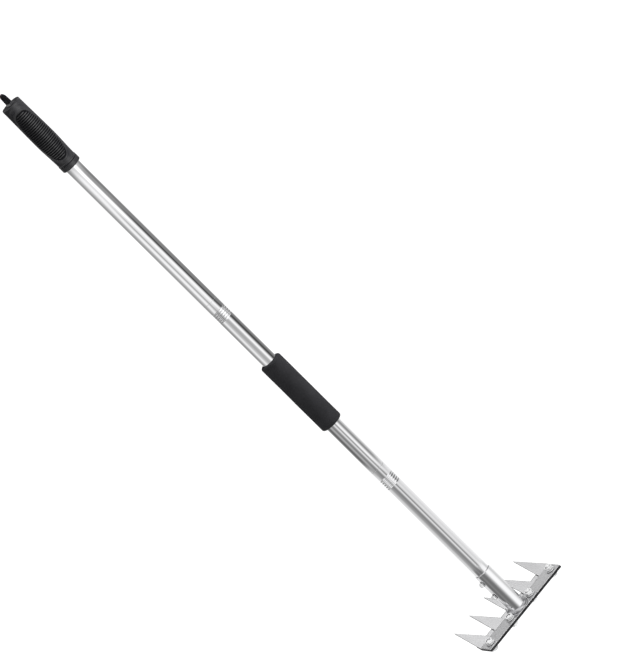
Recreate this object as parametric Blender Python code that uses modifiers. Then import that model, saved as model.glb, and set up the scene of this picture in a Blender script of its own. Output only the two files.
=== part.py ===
"""Weeding rake: a five-tooth steel head bolted up from two sheets, on a pole of three screwed sections.

Frame: metres, +Z up along the pole with the tool hanging from its tab, +X along the head's bar, and the
teeth pointing to -Y. The origin is the centre of the hang hole in the top grip.
"""

import math

import bmesh
import bpy
from mathutils import Matrix, Vector

# Clearances
SEAT_GAP = 0.0003
SOCKET_FIT_GAP = 0.0005

# Top grip and its hang tab
TAB_WIDTH = 0.018
TAB_LENGTH = 0.0225
TAB_ROOT_THICKNESS = 0.0062
TAB_TIP_THICKNESS = 0.0050
TAB_EDGE_RADIUS = 0.0020
TAB_ROOT_DEPTH = 0.004
HANG_HOLE_DIAMETER = 0.008
GRIP_LENGTH = 0.145
GRIP_TOP_DIAMETER = 0.0364
GRIP_PALM_DIAMETER = 0.0382
GRIP_WAIST_DIAMETER = 0.0352
GRIP_PALM_FROM_TOP = 0.082
GRIP_EDGE_RADIUS = 0.0016
GRIP_END_WALL = 0.012
COLLAR_DIAMETER = 0.0364
COLLAR_LENGTH = 0.010
COLLAR_STEP = 0.0010
COLLAR_GROOVE_FROM_END = 0.007
COLLAR_GROOVE_WIDTH = 0.0010
COLLAR_GROOVE_DEPTH = 0.0006

# Pole sections, as lengths that show between grip, seams and socket
POLE_DIAMETER = 0.028
POLE_WALL = 0.0012
UPPER_SHOWN = 0.323
MIDDLE_LENGTH = 0.397
LOWER_SHOWN = 0.251
POLE_IN_SOCKET = 0.070

# Screw joints: rings rolled into the lower tube's end, over a threaded sleeve in the upper tube
THREAD_FROM_SEAM = 0.018
THREAD_PITCH = 0.0044
THREAD_RINGS = 5
THREAD_DEPTH = 0.0007
SLEEVE_WALL = 0.0012
SLEEVE_IN_UPPER = 0.030
SLEEVE_END_LENGTH = 0.003

# Foam grip on the middle section
FOAM_DIAMETER = 0.041
FOAM_LENGTH = 0.149
FOAM_FROM_SEAM = 0.142
FOAM_EDGE_RADIUS = 0.004

# Head: two sheets, folded along one line
BAR_LENGTH = 0.195
BAR_HEIGHT = 0.028
TOOTH_LENGTH = 0.077
TOOTH_ROOT_WIDTH = 0.029
TOOTH_TIP_WIDTH = 0.0006
TOOTH_COUNT = 5
NOTCH_BELOW_BEND = 0.002
BACKING_BELOW_BEND = 0.014
SHEET_THICKNESS = 0.0025
BEND_ANGLE = math.radians(10.0)
HEAD_LEAN = math.radians(15.0)

# Socket tube and the weld round its base
SOCKET_BORE = POLE_DIAMETER + 2 * SOCKET_FIT_GAP
SOCKET_WALL = 0.0015
SOCKET_LENGTH = 0.084
AXIS_ABOVE_BEND = 0.0058
SOCKET_HOLE_DIAMETER = 0.008
SOCKET_HOLES_FROM_MOUTH = (0.0145, 0.044)
WELD_WIDTH = 0.0043
WELD_HEIGHT = 0.0045

# Clamp bolts through both sheets
BOLT_DIAMETER = 0.008
BOLT_STICK_OUT = 0.002
BOLT_FROM_BAR_END = 0.0135
BOLT_ABOVE_BEND = 0.0144
BOLT_COUNT = 4
FLANGE_DIAMETER = 0.0155
FLANGE_HEIGHT = 0.0016
HEX_ACROSS_FLATS = 0.0127
BOLT_HEAD_HEIGHT = 0.0068
BOLT_RECESS_DIAMETER = 0.0080
BOLT_RECESS_DEPTH = 0.0010
NUT_HEIGHT = 0.0080

# Socket screws
SCREW_DIAMETER = 0.006
SCREW_END_INSET = 0.0005
SCREW_HEX_ACROSS_FLATS = 0.0088
SCREW_FLANGE_DIAMETER = 0.0108
SCREW_FLANGE_HEIGHT = 0.0010
SCREW_HEAD_HEIGHT = 0.0045

# Facets round a turn
POLE_SIDES = 24
GRIP_SIDES = 36
FASTENER_SIDES = 20
ARC_STEPS = 4
SWELL_STEPS = 6
SMOOTH_ANGLE = math.radians(35.0)
MERGE_DISTANCE = 0.00001
CUT_OVERRUN = 0.010

# Heights that follow from the sizes, measured from the hang hole
TAB_TIP_Z = TAB_WIDTH / 2
GRIP_TOP_Z = TAB_TIP_Z - TAB_LENGTH
GRIP_LOW_Z = GRIP_TOP_Z - GRIP_LENGTH
GRIP_BORE_TOP_Z = GRIP_TOP_Z - GRIP_END_WALL
UPPER_SEAM_Z = GRIP_LOW_Z - UPPER_SHOWN
LOWER_SEAM_Z = UPPER_SEAM_Z - MIDDLE_LENGTH
MOUTH_Z = LOWER_SEAM_Z - LOWER_SHOWN
SOCKET_BASE_Z = MOUTH_Z - SOCKET_LENGTH

POLE_RADIUS = POLE_DIAMETER / 2
POLE_INNER_RADIUS = POLE_RADIUS - POLE_WALL
SOCKET_INNER_RADIUS = SOCKET_BORE / 2
SOCKET_RADIUS = SOCKET_INNER_RADIUS + SOCKET_WALL
THREAD_LENGTH = THREAD_RINGS * THREAD_PITCH
CLAMP_HOLE_DIAMETER = BOLT_DIAMETER + 2 * SEAT_GAP
TOOTH_PITCH = (BAR_LENGTH - TOOTH_ROOT_WIDTH) / (TOOTH_COUNT - 1)
BOLT_PITCH = (BAR_LENGTH - 2 * BOLT_FROM_BAR_END) / (BOLT_COUNT - 1)
BACKING_FRONT = -(SHEET_THICKNESS + SEAT_GAP)
STACK_BACK = BACKING_FRONT - SHEET_THICKNESS
BOLT_LENGTH = NUT_HEIGHT + BOLT_STICK_OUT + 2 * SEAT_GAP - STACK_BACK
SCREW_LENGTH = 2 * SOCKET_RADIUS + SEAT_GAP - SCREW_END_INSET


def clear_scene():
    for item in list(bpy.data.objects):
        bpy.data.objects.remove(item, do_unlink=True)


def new_collection(name):
    group = bpy.data.collections.new(name)
    bpy.context.scene.collection.children.link(group)
    return group


def material(name, colour, roughness, metallic):
    surface = bpy.data.materials.new(name)
    surface.use_nodes = True
    shader = surface.node_tree.nodes["Principled BSDF"]
    shader.inputs["Base Color"].default_value = (*colour, 1.0)
    shader.inputs["Roughness"].default_value = roughness
    shader.inputs["Metallic"].default_value = metallic
    return surface


def add_mesh(name, mesh, group, parent=None):
    """Links a mesh modelled in its parent's frame, or in the tool's frame where it has no parent."""
    item = bpy.data.objects.new(name, mesh)
    group.objects.link(item)
    item.parent = parent
    return item


def ride(item, joint):
    """Parents an item to a joint's empty and leaves it where it is."""
    item.parent = joint
    item.matrix_parent_inverse = Matrix.Translation(-joint.location)


def joint_empty(name, height):
    """An empty on the pole's axis at a seam, which turns with all that lies below it."""
    joint = bpy.data.objects.new(name, None)
    joint.location = (0.0, 0.0, height)
    parts.objects.link(joint)
    return joint


def baked(item):
    """Replaces the object by its evaluated mesh, shaded smooth up to SMOOTH_ANGLE."""
    bpy.context.view_layer.update()
    graph = bpy.context.evaluated_depsgraph_get()
    mesh = bpy.data.meshes.new_from_object(item.evaluated_get(graph))
    edit = bmesh.new()
    edit.from_mesh(mesh)
    bmesh.ops.remove_doubles(edit, verts=edit.verts, dist=MERGE_DISTANCE)
    edit.to_mesh(mesh)
    edit.free()
    mesh.shade_smooth()
    mesh.set_sharp_from_angle(angle=SMOOTH_ANGLE)
    mesh.name = item.name
    bpy.data.objects.remove(item, do_unlink=True)
    return mesh


def turned(name, profile, sides, closed=True):
    """Turns a profile of (radius, height) points about Z. It runs down its outer side and up its inner one."""
    count = len(profile)
    edges = [(i, i + 1) for i in range(count - 1)]
    if closed:
        edges.append((count - 1, 0))
    mesh = bpy.data.meshes.new(name)
    mesh.from_pydata([(radius, 0.0, height) for radius, height in profile], edges, [])
    item = add_mesh(name, mesh, scratch)
    screw = item.modifiers.new("Turn", "SCREW")
    screw.axis = "Z"
    screw.steps = sides
    screw.render_steps = sides
    screw.use_merge_vertices = True
    screw.merge_threshold = MERGE_DISTANCE
    return baked(item)


def extruded(name, outlines, thickness):
    """Extrudes flat outlines in XY by the thickness, down from Z = 0; those inside the first are holes."""
    curve = bpy.data.curves.new(name, "CURVE")
    curve.dimensions = "2D"
    curve.fill_mode = "BOTH"
    curve.extrude = thickness / 2
    for outline in outlines:
        spline = curve.splines.new("POLY")
        spline.points.add(len(outline) - 1)
        for point, (x, y) in zip(spline.points, outline):
            point.co = (x, y, 0.0, 1.0)
        spline.use_cyclic_u = True
    item = bpy.data.objects.new(name, curve)
    scratch.objects.link(item)
    mesh = baked(item)
    mesh.transform(Matrix.Translation((0.0, 0.0, -thickness / 2)))
    return mesh


def rod(name, diameter, start, end, sides=FASTENER_SIDES):
    """A cylinder, or a hexagon for six sides, from one point to another."""
    start, end = Vector(start), Vector(end)
    run = end - start
    mesh = bpy.data.meshes.new(name)
    edit = bmesh.new()
    bmesh.ops.create_cone(
        edit, cap_ends=True, segments=sides, radius1=diameter / 2, radius2=diameter / 2, depth=run.length
    )
    turn = Vector((0.0, 0.0, 1.0)).rotation_difference(run).to_matrix().to_4x4()
    bmesh.ops.transform(edit, matrix=Matrix.Translation((start + end) / 2) @ turn, verts=edit.verts)
    edit.to_mesh(mesh)
    edit.free()
    return mesh


def cutter(name, mesh, parent=None):
    item = add_mesh(name, mesh, cutters, parent)
    item.hide_render = True
    item.display_type = "WIRE"
    return item


def combine(item, other, operation="DIFFERENCE"):
    step = item.modifiers.new(other.name, "BOOLEAN")
    step.operation = operation
    step.solver = "EXACT"
    step.object = other


def part(name, mesh, surface, parent=None):
    mesh.name = name
    if not mesh.materials:
        mesh.materials.append(surface)
    return add_mesh(name, mesh, parts, parent)


def arc(centre, radius, start, end, steps=ARC_STEPS):
    """Points along an arc; angles in degrees from +X, turning towards +Y."""
    angles = [math.radians(start + (end - start) * i / steps) for i in range(steps + 1)]
    return [(centre[0] + radius * math.cos(a), centre[1] + radius * math.sin(a)) for a in angles]


def folded(mesh):
    """Folds a mesh in the sheet's flat frame along Y = 0: what lies at -Y turns by BEND_ANGLE to +Z."""
    edit = bmesh.new()
    edit.from_mesh(mesh)
    geometry = edit.verts[:] + edit.edges[:] + edit.faces[:]
    bmesh.ops.bisect_plane(edit, geom=geometry, plane_co=(0, 0, 0), plane_no=(0, 1, 0), dist=MERGE_DISTANCE)
    for vert in edit.verts:
        x, y, z = vert.co
        if abs(y) <= MERGE_DISTANCE:
            vert.co = (x, z * math.tan(BEND_ANGLE / 2), z)
        elif y < 0:
            across = y * math.cos(BEND_ANGLE) + z * math.sin(BEND_ANGLE)
            vert.co = (x, across, -y * math.sin(BEND_ANGLE) + z * math.cos(BEND_ANGLE))
    edit.to_mesh(mesh)
    edit.free()
    mesh.shade_smooth()
    mesh.set_sharp_from_angle(angle=BEND_ANGLE / 2)
    return mesh


def sheet(name, outlines, front, thickness=SHEET_THICKNESS):
    mesh = extruded(name, outlines, thickness)
    mesh.transform(Matrix.Translation((0.0, 0.0, front)))
    return folded(mesh)


def edge_inset(depth):
    """How far a tooth's slanted edge has come in from its root corner, at a depth below the bend."""
    return (TOOTH_ROOT_WIDTH - TOOTH_TIP_WIDTH) / 2 * depth / TOOTH_LENGTH


def tooth_outline():
    """The bar with its teeth, counter-clockwise from the bar's top right corner."""
    half = BAR_LENGTH / 2
    outline = [(half, BAR_HEIGHT), (-half, BAR_HEIGHT)]
    for index in range(TOOTH_COUNT):
        centre = (index - (TOOTH_COUNT - 1) / 2) * TOOTH_PITCH
        root = TOOTH_ROOT_WIDTH / 2
        left_depth = 0.0 if index == 0 else NOTCH_BELOW_BEND
        right_depth = 0.0 if index == TOOTH_COUNT - 1 else NOTCH_BELOW_BEND
        outline.append((centre - root + edge_inset(left_depth), -left_depth))
        outline.append((centre - TOOTH_TIP_WIDTH / 2, -TOOTH_LENGTH))
        outline.append((centre + TOOTH_TIP_WIDTH / 2, -TOOTH_LENGTH))
        outline.append((centre + root - edge_inset(right_depth), -right_depth))
    return outline


def backing_outline():
    """The plain strip behind the bar, whose ends keep inside the outer teeth's edges."""
    half = BAR_LENGTH / 2
    lower = half - edge_inset(BACKING_BELOW_BEND)
    depth = -BACKING_BELOW_BEND
    return [(half, BAR_HEIGHT), (-half, BAR_HEIGHT), (-half, 0.0), (-lower, depth), (lower, depth), (half, 0.0)]


def bolt_places():
    return [(index - (BOLT_COUNT - 1) / 2) * BOLT_PITCH for index in range(BOLT_COUNT)]


def bolt_holes():
    radius = CLAMP_HOLE_DIAMETER / 2
    return [arc((x, BOLT_ABOVE_BEND), radius, 0, 360, FASTENER_SIDES)[:-1] for x in bolt_places()]


def build_sheets(frame):
    plate = sheet("tooth_plate", [tooth_outline()] + bolt_holes(), 0.0)
    part("tooth_plate", plate, brushed_steel, frame)
    backing = sheet("backing_plate", [backing_outline()] + bolt_holes(), BACKING_FRONT)
    part("backing_plate", backing, brushed_steel, frame)


def fastener_head(name, flange_diameter, flange_height, across_flats, height, recess=None):
    """A flange with a hexagon on it, bearing face at Z = 0. A recess is a diameter and a depth."""
    radius = flange_diameter / 2
    corner_diameter = across_flats / math.cos(math.pi / 6)
    profile = [(0.0, flange_height), (radius * 0.9, flange_height), (radius, flange_height / 2)]
    profile += [(radius, 0.0), (0.0, 0.0)]
    item = add_mesh(name, turned(name, profile, FASTENER_SIDES, closed=False), scratch)
    hexagon = rod(f"{name}_hexagon", corner_diameter, (0, 0, flange_height / 2), (0, 0, height), sides=6)
    combine(item, add_mesh(f"{name}_hexagon", hexagon, scratch), "UNION")
    if recess:
        dish = rod(f"{name}_dish", recess[0], (0, 0, height - recess[1]), (0, 0, height + CUT_OVERRUN))
        combine(item, add_mesh(f"{name}_dish", dish, scratch))
    return item


def bolt_mesh():
    recess = (BOLT_RECESS_DIAMETER, BOLT_RECESS_DEPTH)
    item = fastener_head(
        "clamp_bolt", FLANGE_DIAMETER, FLANGE_HEIGHT, HEX_ACROSS_FLATS, BOLT_HEAD_HEIGHT, recess
    )
    shank = rod("bolt_shank", BOLT_DIAMETER, (0, 0, -BOLT_LENGTH), (0, 0, FLANGE_HEIGHT))
    combine(item, add_mesh("bolt_shank", shank, scratch), "UNION")
    return baked(item)


def nut_mesh():
    item = fastener_head("clamp_nut", FLANGE_DIAMETER, FLANGE_HEIGHT, HEX_ACROSS_FLATS, NUT_HEIGHT)
    low, high = (0, 0, -CUT_OVERRUN), (0, 0, NUT_HEIGHT + CUT_OVERRUN)
    combine(item, add_mesh("nut_bore", rod("nut_bore", CLAMP_HOLE_DIAMETER, low, high), scratch))
    return baked(item)


def screw_mesh():
    item = fastener_head(
        "socket_screw", SCREW_FLANGE_DIAMETER, SCREW_FLANGE_HEIGHT, SCREW_HEX_ACROSS_FLATS, SCREW_HEAD_HEIGHT
    )
    shank = rod("screw_shank", SCREW_DIAMETER, (0, 0, -SCREW_LENGTH), (0, 0, SCREW_FLANGE_HEIGHT))
    combine(item, add_mesh("screw_shank", shank, scratch), "UNION")
    return baked(item)


def build_clamp_fasteners(frame):
    """Bolts at -X come from behind, with their nuts in front; those at +X come from the front."""
    bolt, nut = bolt_mesh(), nut_mesh()
    in_front = SEAT_GAP
    behind = STACK_BACK - SEAT_GAP
    for index, x in enumerate(bolt_places(), start=1):
        nut_in_front = x < 0
        bolt_item = part(f"clamp_bolt_{index}", bolt, zinc, frame)
        nut_item = part(f"clamp_nut_{index}", nut, zinc, frame)
        bolt_item.location = (x, BOLT_ABOVE_BEND, behind if nut_in_front else in_front)
        nut_item.location = (x, BOLT_ABOVE_BEND, in_front if nut_in_front else behind)
        flipped = bolt_item if nut_in_front else nut_item
        flipped.rotation_euler = (math.pi, 0.0, 0.0)


def build_socket(frame, joint):
    """The socket tube, cut to the folded sheet, and the weld bead that follows the sheet round it."""
    hidden = max(CUT_OVERRUN, SOCKET_RADIUS)
    profile = [
        (SOCKET_RADIUS, MOUTH_Z),
        (SOCKET_RADIUS, SOCKET_BASE_Z - hidden),
        (SOCKET_INNER_RADIUS, SOCKET_BASE_Z - hidden),
        (SOCKET_INNER_RADIUS, MOUTH_Z),
    ]
    tube = part("socket_tube", turned("socket_tube", profile, GRIP_SIDES), polished_steel)
    ride(tube, joint)
    reach = 3 * SOCKET_RADIUS
    square = [(reach, reach), (-reach, reach), (-reach, -reach), (reach, -reach)]
    base = cutter("socket_base_cut", sheet("socket_base_cut", [square], SEAT_GAP, thickness=reach), frame)
    combine(tube, base)

    bead = [(SOCKET_INNER_RADIUS, SEAT_GAP), (SOCKET_INNER_RADIUS, SEAT_GAP + WELD_HEIGHT)]
    for x, y in arc((0, 0), 1.0, 90, 0, steps=5):
        bead.append((SOCKET_RADIUS + WELD_WIDTH * x, SEAT_GAP + WELD_HEIGHT * y))
    ring = turned("socket_weld", bead, GRIP_SIDES)
    ring.transform(Matrix.Translation((0.0, AXIS_ABOVE_BEND, 0.0)))
    weld = part("socket_weld", folded(ring), weld_steel, frame)
    bore_diameter = 2 * (SOCKET_RADIUS + SEAT_GAP)
    low, high = (0, 0, SOCKET_BASE_Z - reach), (0, 0, SOCKET_BASE_Z + reach)
    combine(weld, cutter("weld_bore", rod("weld_bore", bore_diameter, low, high, GRIP_SIDES)))
    return tube


def build_socket_screws(tube, pole, joint):
    mesh = screw_mesh()
    for name, from_mouth in zip(("upper", "lower"), SOCKET_HOLES_FROM_MOUTH):
        height = MOUTH_Z - from_mouth
        reach = SOCKET_RADIUS + CUT_OVERRUN
        ends = (-reach, 0, height), (reach, 0, height)
        combine(tube, cutter(f"{name}_socket_hole", rod("hole", SOCKET_HOLE_DIAMETER, *ends)))
        tapped = SCREW_DIAMETER + 2 * SEAT_GAP
        combine(pole, cutter(f"{name}_pole_hole", rod("hole", tapped, *ends)))
        screw = part(f"socket_screw_{name}", mesh, zinc)
        screw.location = (SOCKET_RADIUS + SEAT_GAP, 0.0, height)
        screw.rotation_euler = (0.0, math.pi / 2, 0.0)
        ride(screw, joint)


def ring_depth(below_seam):
    """Depth of the rolled rings at a distance below the seam: V grooves, one per pitch."""
    along = (below_seam - THREAD_FROM_SEAM) / THREAD_PITCH
    if along < 0 or along > THREAD_RINGS:
        return 0.0
    return THREAD_DEPTH * (1 - abs(2 * (along % 1.0) - 1))


def ring_stations():
    """Distances below the seam of every crest and root of the rolled rings."""
    return [THREAD_FROM_SEAM + THREAD_PITCH * step / 2 for step in range(2 * THREAD_RINGS + 1)]


def tube_profile(stations, outer, wall):
    """A closed tube profile from heights and the outer radius at each; the wall is even."""
    down = [(outer(z), z) for z in stations]
    return down + [(radius - wall, z) for radius, z in reversed(down)]


def ringed_pole(name, seam, low):
    """A section whose upper end is rolled into rings, over the sleeve of the section above."""
    stations = [seam - SEAT_GAP / 2] + [seam - below for below in ring_stations()] + [low]
    profile = tube_profile(stations, lambda z: POLE_RADIUS - ring_depth(seam - z), POLE_WALL)
    return part(name, turned(name, profile, POLE_SIDES), polished_steel)


def thread_sleeve(name, seam):
    """The threaded tube that is pressed into the section above and screws into the rings below."""
    fitted = POLE_INNER_RADIUS - SEAT_GAP
    end = THREAD_FROM_SEAM + THREAD_LENGTH + SLEEVE_END_LENGTH
    stations = [seam + SLEEVE_IN_UPPER] + [seam - below for below in ring_stations()[:-1]] + [seam - end]

    def outer(z):
        below = seam - z
        if below > THREAD_FROM_SEAM + THREAD_LENGTH:
            return fitted - THREAD_DEPTH
        return fitted - ring_depth(below)

    return part(name, turned(name, tube_profile(stations, outer, SLEEVE_WALL), POLE_SIDES), thread_steel)


def build_poles(upper_joint, lower_joint):
    ends = [GRIP_BORE_TOP_Z - SEAT_GAP, UPPER_SEAM_Z + SEAT_GAP / 2]
    profile = tube_profile(ends, lambda z: POLE_RADIUS, POLE_WALL)
    part("upper_pole", turned("upper_pole", profile, POLE_SIDES), polished_steel)
    thread_sleeve("upper_thread_sleeve", UPPER_SEAM_Z)
    ride(ringed_pole("middle_pole", UPPER_SEAM_Z, LOWER_SEAM_Z + SEAT_GAP / 2), upper_joint)
    ride(thread_sleeve("lower_thread_sleeve", LOWER_SEAM_Z), upper_joint)
    lower = ringed_pole("lower_pole", LOWER_SEAM_Z, MOUTH_Z - POLE_IN_SOCKET)
    ride(lower, lower_joint)
    return lower


def build_foam_grip(joint):
    top = UPPER_SEAM_Z - FOAM_FROM_SEAM
    low = top - FOAM_LENGTH
    bore = POLE_RADIUS + SEAT_GAP
    shoulder = FOAM_DIAMETER / 2 - FOAM_EDGE_RADIUS
    profile = [(bore, top)]
    profile += arc((shoulder, top - FOAM_EDGE_RADIUS), FOAM_EDGE_RADIUS, 90, 0)
    profile += arc((shoulder, low + FOAM_EDGE_RADIUS), FOAM_EDGE_RADIUS, 0, -90)
    profile.append((bore, low))
    ride(part("foam_grip", turned("foam_grip", profile, GRIP_SIDES), foam), joint)


def swell(start, end):
    """Points after the start of an S-shaped ease from one (radius, height) to another."""
    points = []
    for step in range(1, SWELL_STEPS + 1):
        share = step / SWELL_STEPS
        eased = (1 - math.cos(math.pi * share)) / 2
        points.append((start[0] + (end[0] - start[0]) * eased, start[1] + (end[1] - start[1]) * share))
    return points


def grip_profile():
    """The grip's half section: flat top, palm swell, waist, grooved collar and a blind bore for the pole."""
    top_radius, palm, waist = GRIP_TOP_DIAMETER / 2, GRIP_PALM_DIAMETER / 2, GRIP_WAIST_DIAMETER / 2
    collar = COLLAR_DIAMETER / 2
    bore = POLE_RADIUS + SEAT_GAP
    collar_top = GRIP_LOW_Z + COLLAR_LENGTH
    groove = GRIP_LOW_Z + COLLAR_GROOVE_FROM_END
    groove_floor = collar - COLLAR_GROOVE_DEPTH
    profile = [(0.0, GRIP_TOP_Z)]
    profile += arc((top_radius - GRIP_EDGE_RADIUS, GRIP_TOP_Z - GRIP_EDGE_RADIUS), GRIP_EDGE_RADIUS, 90, 0)
    palm_z, waist_z = GRIP_TOP_Z - GRIP_PALM_FROM_TOP, collar_top + COLLAR_STEP
    profile += swell((top_radius, GRIP_TOP_Z - GRIP_EDGE_RADIUS), (palm, palm_z))
    profile += swell((palm, palm_z), (waist, waist_z))
    profile.append((collar, collar_top))
    profile.append((collar, groove + COLLAR_GROOVE_WIDTH / 2))
    profile.append((groove_floor, groove))
    profile.append((collar, groove - COLLAR_GROOVE_WIDTH / 2))
    profile += arc((collar - GRIP_EDGE_RADIUS, GRIP_LOW_Z + GRIP_EDGE_RADIUS), GRIP_EDGE_RADIUS, 0, -90)
    profile += [(bore, GRIP_LOW_Z), (bore, GRIP_BORE_TOP_Z), (0.0, GRIP_BORE_TOP_Z)]
    return profile


def hang_tab():
    """The tab in the plane X = 0: a round-ended tongue that thins towards its tip, with rounded edges."""
    radius = TAB_WIDTH / 2
    root = GRIP_TOP_Z - TAB_ROOT_DEPTH
    outline = arc((0.0, 0.0), radius, 0, 180, steps=12) + [(-radius, root), (radius, root)]
    mesh = extruded("hang_tab", [outline], TAB_ROOT_THICKNESS)
    thinning = 1 - TAB_TIP_THICKNESS / TAB_ROOT_THICKNESS
    for vert in mesh.vertices:
        across, height = vert.co.x, vert.co.y
        from_root = min((height - GRIP_TOP_Z) / TAB_LENGTH, 1.0)
        thickness_share = 1 - thinning * max(from_root, 0.0)
        vert.co = ((vert.co.z + TAB_ROOT_THICKNESS / 2) * thickness_share, across, height)
    item = add_mesh("hang_tab", mesh, scratch)
    bevel = item.modifiers.new("Edges", "BEVEL")
    bevel.width = TAB_EDGE_RADIUS
    bevel.segments = 2
    bevel.limit_method = "ANGLE"
    bevel.angle_limit = math.radians(50)
    return cutter("hang_tab", baked(item))


def build_handle_grip():
    grip = part("handle_grip", turned("handle_grip", grip_profile(), GRIP_SIDES, closed=False), moulded)
    combine(grip, hang_tab(), "UNION")
    reach = TAB_ROOT_THICKNESS + CUT_OVERRUN
    hole = rod("hang_hole", HANG_HOLE_DIAMETER, (-reach, 0, 0), (reach, 0, 0))
    combine(grip, cutter("hang_hole", hole))


def head_frame(joint):
    """An empty on the bar's front face at the bend line, leaning with the head."""
    frame = bpy.data.objects.new("head_frame", None)
    parts.objects.link(frame)
    frame.rotation_euler = (-HEAD_LEAN, 0.0, 0.0)
    along = Vector((0.0, math.cos(HEAD_LEAN), -math.sin(HEAD_LEAN)))
    frame.location = Vector((0.0, 0.0, SOCKET_BASE_Z)) - AXIS_ABOVE_BEND * along
    ride(frame, joint)
    return frame


clear_scene()
parts = new_collection("weeding_rake")
cutters = new_collection("cutters")
scratch = new_collection("scratch")
brushed_steel = material("brushed_steel", (0.62, 0.62, 0.63), 0.35, 1.0)
polished_steel = material("polished_steel", (0.70, 0.70, 0.71), 0.10, 1.0)
thread_steel = material("thread_steel", (0.55, 0.55, 0.56), 0.30, 1.0)
weld_steel = material("weld_steel", (0.12, 0.12, 0.13), 0.25, 1.0)
zinc = material("zinc", (0.80, 0.81, 0.82), 0.25, 1.0)
foam = material("foam", (0.025, 0.025, 0.026), 0.95, 0.0)
moulded = material("moulded", (0.022, 0.022, 0.024), 0.45, 0.0)

upper_seam = joint_empty("upper_screw_joint", UPPER_SEAM_Z)
lower_seam = joint_empty("lower_screw_joint", LOWER_SEAM_Z)
ride(lower_seam, upper_seam)
head = head_frame(lower_seam)
bpy.context.view_layer.update()
build_handle_grip()
lower_pole = build_poles(upper_seam, lower_seam)
build_foam_grip(upper_seam)
build_sheets(head)
build_clamp_fasteners(head)
socket = build_socket(head, lower_seam)
build_socket_screws(socket, lower_pole, lower_seam)

for leftover in list(scratch.objects):
    bpy.data.objects.remove(leftover, do_unlink=True)
bpy.data.collections.remove(scratch)
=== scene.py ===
# %% [markdown]
# # A weeding rake on a three-piece pole
#
# The tool is a steel head with five teeth on a polished tube, with a foam sleeve and a moulded top
# grip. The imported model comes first. It fixes every size and place, so each piece below is made
# where its solid already is.
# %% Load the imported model
import math

import bpy
import numpy as np
from mathutils import Matrix, Vector


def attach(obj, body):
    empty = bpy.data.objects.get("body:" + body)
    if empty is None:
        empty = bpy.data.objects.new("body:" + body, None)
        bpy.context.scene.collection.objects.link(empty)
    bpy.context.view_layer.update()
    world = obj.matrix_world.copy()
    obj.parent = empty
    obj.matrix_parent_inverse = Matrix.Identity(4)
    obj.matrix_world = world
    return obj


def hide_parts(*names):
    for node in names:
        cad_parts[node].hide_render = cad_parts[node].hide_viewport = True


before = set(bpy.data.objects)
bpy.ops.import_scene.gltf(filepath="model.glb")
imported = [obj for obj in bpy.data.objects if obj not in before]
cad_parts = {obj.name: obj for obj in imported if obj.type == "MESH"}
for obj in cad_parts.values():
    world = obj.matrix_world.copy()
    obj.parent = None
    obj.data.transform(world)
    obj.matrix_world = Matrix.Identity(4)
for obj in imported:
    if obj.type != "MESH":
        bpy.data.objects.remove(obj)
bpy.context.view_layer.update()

# %% [markdown]
# ## The camera
#
# The picture shows the pole without any perspective, so the camera stands 20 m away with a very
# long lens. It could be turned by three angles, but a camera is easier to read as three arrows:
# where its right, its up and its back point. They are the columns of its turning matrix. The tool
# hangs upright in the model, so it is the camera that is rolled to lay it on the diagonal.
# %% Camera
camera = bpy.data.objects.new("camera", bpy.data.cameras.new("camera"))
bpy.context.scene.collection.objects.link(camera)
camera.data.sensor_fit = "AUTO"
camera.data.sensor_width = 36.0
camera.data.lens = 667.7
camera.data.clip_end = 100.0

back = Vector((0.3745, 0.9025, 0.2127)).normalized()
up = Vector((-0.71317, 0.13376, 0.68811))
up = (up - up.dot(back) * back).normalized()
aim, distance = Vector((-0.0896, 0.0368, -0.6448)), 20.0055
turn = Matrix((up.cross(back), up, back)).transposed().to_4x4()
camera.matrix_world = Matrix.Translation(aim + distance * back) @ turn
bpy.context.scene.camera = camera
CAMERA_AZIMUTH = math.atan2(back.y, back.x)
print("camera at", [round(v, 3) for v in camera.location])

# %% [markdown]
# ## Sizes
#
# These are the sizes the solids were built from, in metres. Heights are measured from the hang
# hole, downwards along the pole. The head has its own flat frame: x along the bar, y up the bar
# from the bend, and z out of its front. `head_place` turns points of that frame into the model's.
# %% Sizes of grip, pole and socket
SEAT_GAP = 0.0003
TAB_RADIUS, TAB_ROOT_THICKNESS, TAB_TIP_THICKNESS, HANG_HOLE_RADIUS = 0.009, 0.0062, 0.0050, 0.004
GRIP_TOP, GRIP_LOW, GRIP_END_WALL = -0.0135, -0.1585, 0.012
GRIP_TOP_RADIUS, GRIP_PALM_RADIUS, GRIP_WAIST_RADIUS, COLLAR_RADIUS = 0.0182, 0.0191, 0.0176, 0.0182
POLE_RADIUS, POLE_WALL = 0.014, 0.0012
UPPER_SEAM, LOWER_SEAM = -0.4815, -0.8785
MOUTH, SOCKET_BASE, POLE_IN_SOCKET = -1.1295, -1.2135, 0.070
POLE_END = MOUTH - POLE_IN_SOCKET
SOCKET_RADIUS, SOCKET_BORE_RADIUS = 0.0160, 0.0145

# %% Sizes of the head
BAR_HALF, BAR_HEIGHT, SHEET = 0.0975, 0.028, 0.0025
TOOTH_LENGTH, TOOTH_ROOT, TOOTH_TIP, TOOTH_PITCH = 0.077, 0.029, 0.0006, 0.0415
NOTCH_DEPTH, BACKING_DEPTH = 0.002, 0.014
BEND, LEAN = math.radians(10.0), math.radians(15.0)
BOLT_X, BOLT_Y = (-0.084, -0.028, 0.028, 0.084), 0.0144
HEAD_UP = np.array([0.0, math.cos(LEAN), -math.sin(LEAN)])
HEAD_OUT = np.array([0.0, math.sin(LEAN), math.cos(LEAN)])
BEND_UNDER_AXIS = 0.0058
HEAD_ORIGIN = np.array([0.0, 0.0, SOCKET_BASE]) - BEND_UNDER_AXIS * HEAD_UP


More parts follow.
